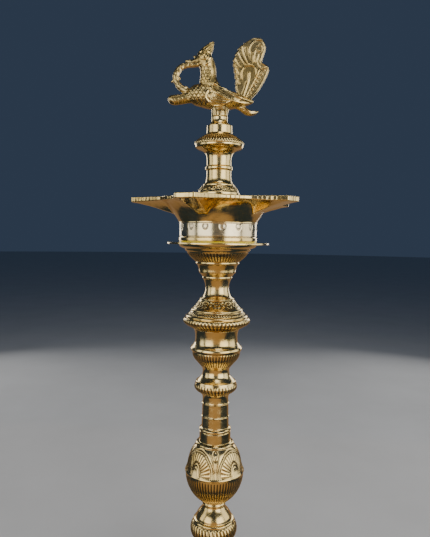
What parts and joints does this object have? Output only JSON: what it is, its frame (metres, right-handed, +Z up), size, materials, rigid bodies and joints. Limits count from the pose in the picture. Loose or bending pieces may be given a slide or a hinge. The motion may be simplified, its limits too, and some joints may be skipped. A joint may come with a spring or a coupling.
{
  "type": "standing oil lamp",
  "caption": "Tall turned brass standing oil lamp with a spouted oil pan, a drip disc and a screw-off bird finial.",
  "frame": {"origin": "centre of the foot's resting face", "axes": "+Z up the lamp's axis; the bird's beak points towards -X and the lamp is seen from -Y"},
  "size_m": [0.197, 0.197, 0.6225],
  "materials": {
    "foot_brass": "turned and polished",
    "stem_brass": "turned, chased and polished",
    "dull_brass": "machined, unpolished",
    "sheet_brass": "spun and polished",
    "yellow_seal": "smooth yellow seal",
    "pan_brass": "cast, filed and polished",
    "bird_brass": "cast, chased and polished"
  },
  "bodies": {
    "base": {"base_foot": "foot_brass", "base_pedestal": "stem_brass", "base_washer": "dull_brass", "base_nut": "dull_brass"},
    "shaft": {"stem_shaft": "stem_brass"},
    "knop": {"stem_knop": "stem_brass"},
    "capital": {"stem_capital": "stem_brass", "centre_stud": "dull_brass"},
    "disc": {"drip_disc": "sheet_brass"},
    "seal": {"seal_washer": "yellow_seal"},
    "pan": {"oil_pan": "pan_brass"},
    "loose_washer": {"finial_washer": "sheet_brass"},
    "finial": {"finial_column": "stem_brass", "bird_post": "stem_brass", "bird_body": "bird_brass", "bird_tail": "bird_brass"}
  },
  "joints": [
    {"name": "shaft_unscrew", "type": "hinge", "parent": "base", "child": "shaft", "pos_m": [0, 0, 0.154], "axis": [0, 0, 1], "range_deg": [0, 2160]},
    {"name": "knop_unscrew", "type": "hinge", "parent": "shaft", "child": "knop", "pos_m": [0, 0, 0.271], "axis": [0, 0, 1], "range_deg": [0, 2160]},
    {"name": "capital_unscrew", "type": "hinge", "parent": "knop", "child": "capital", "pos_m": [0, 0, 0.336], "axis": [0, 0, 1], "range_deg": [0, 2160]},
    {"name": "disc_lift", "type": "slide", "parent": "capital", "child": "disc", "axis": [0, 0, 1], "range_m": [0, 0.065]},
    {"name": "pan_lift", "type": "slide", "parent": "disc", "child": "seal", "axis": [0, 0, 1], "range_m": [0, 0.065]},
    {"name": "pan_turn", "type": "hinge", "parent": "seal", "child": "pan", "pos_m": [0, 0, 0.424], "axis": [0, 0, 1], "continuous": true},
    {"name": "finial_rise", "type": "slide", "parent": "pan", "child": "loose_washer", "axis": [0, 0, 1], "range_m": [0, 0.0121]},
    {"name": "finial_turn", "type": "hinge", "parent": "loose_washer", "child": "finial", "pos_m": [0, 0, 0.4675], "axis": [0, 0, 1], "range_deg": [0, 2160]}
  ],
  "couplings": [
    {"joint": "finial_rise", "follows": "finial_turn", "m_per_rad": 0.00031831}
  ]
}
